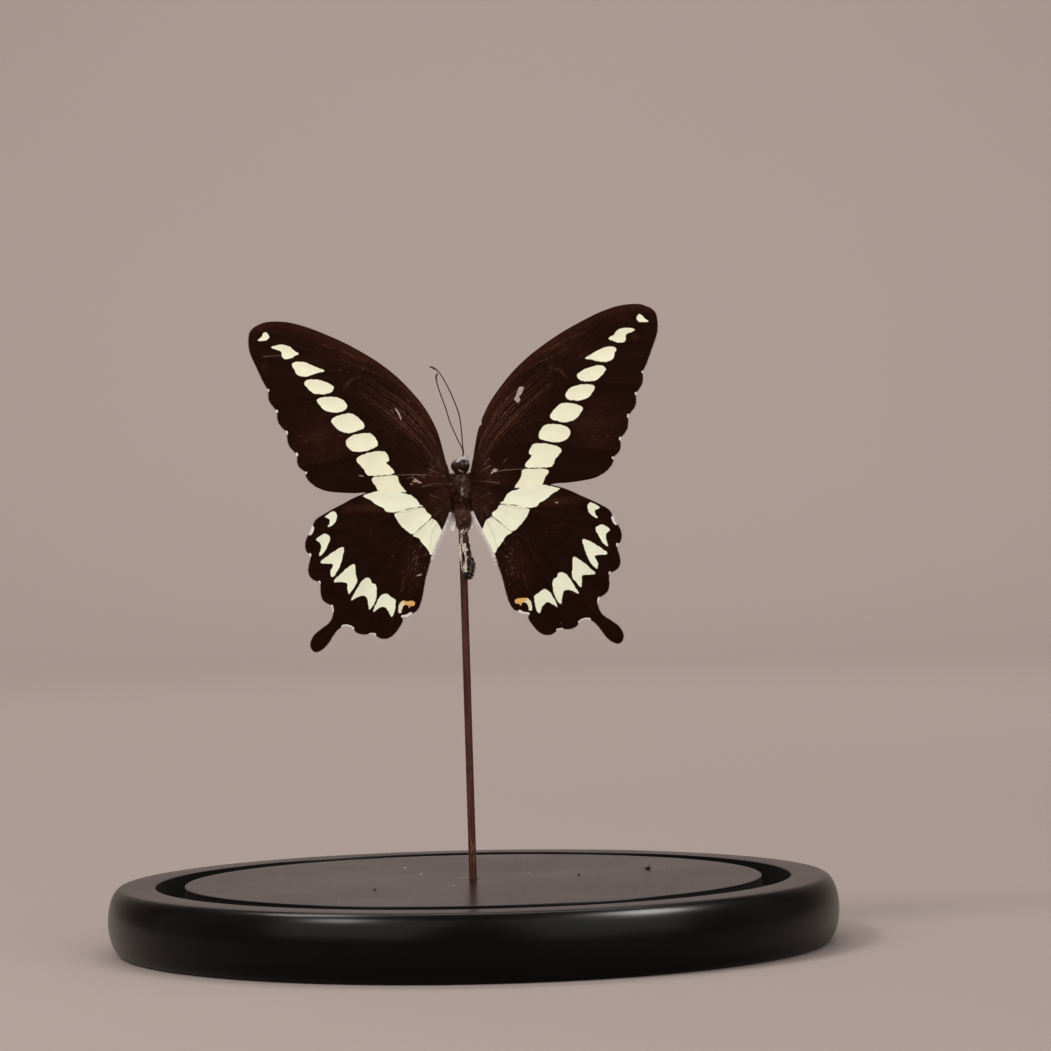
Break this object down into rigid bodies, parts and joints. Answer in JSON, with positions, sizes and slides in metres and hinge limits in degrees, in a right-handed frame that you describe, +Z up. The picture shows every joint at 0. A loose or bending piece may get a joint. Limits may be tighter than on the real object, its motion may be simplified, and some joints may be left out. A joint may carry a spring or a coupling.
{
  "type": "mounted swallowtail butterfly on a dome base",
  "caption": "Dried swallowtail butterfly with spread dark wings, fixed to a thin upright rod on a round black lacquered base with a ring groove for a glass dome.",
  "frame": {"origin": "centre of the base's underside, on the surface that it stands on", "axes": "+Z up along the rod; the butterfly's back faces -Y and its wings spread along X"},
  "size_m": [0.2, 0.2, 0.1745],
  "materials": {
    "black_lacquered_wood": "satin black lacquer",
    "bronzed_rod": "bronzed reddish brown, semi-gloss",
    "clear_glue": "clear, slightly yellowed",
    "wing_scales": "matte scales, dark brown with cream bands",
    "body_fur": "short matte hair",
    "abdomen_skin": "dried and shrivelled",
    "dark_shell": "smooth dark shell",
    "pale_scales": "pale matte hair and scales"
  },
  "bodies": {
    "root": {"base": "black_lacquered_wood", "rod": "bronzed_rod", "glue_bead": "clear_glue", "head": "dark_shell", "thorax": "body_fur", "abdomen": "abdomen_skin", "right_forewing": "wing_scales", "left_forewing": "wing_scales", "right_hindwing": "wing_scales", "left_hindwing": "wing_scales", "right_antenna": "dark_shell", "left_antenna": "dark_shell", "right_palp": "pale_scales", "left_palp": "pale_scales", "tongue": "dark_shell", "right_front_leg": "dark_shell", "right_middle_leg": "dark_shell", "right_hind_leg": "dark_shell", "left_front_leg": "dark_shell", "left_middle_leg": "dark_shell", "left_hind_leg": "dark_shell"}
  },
  "joints": []
}
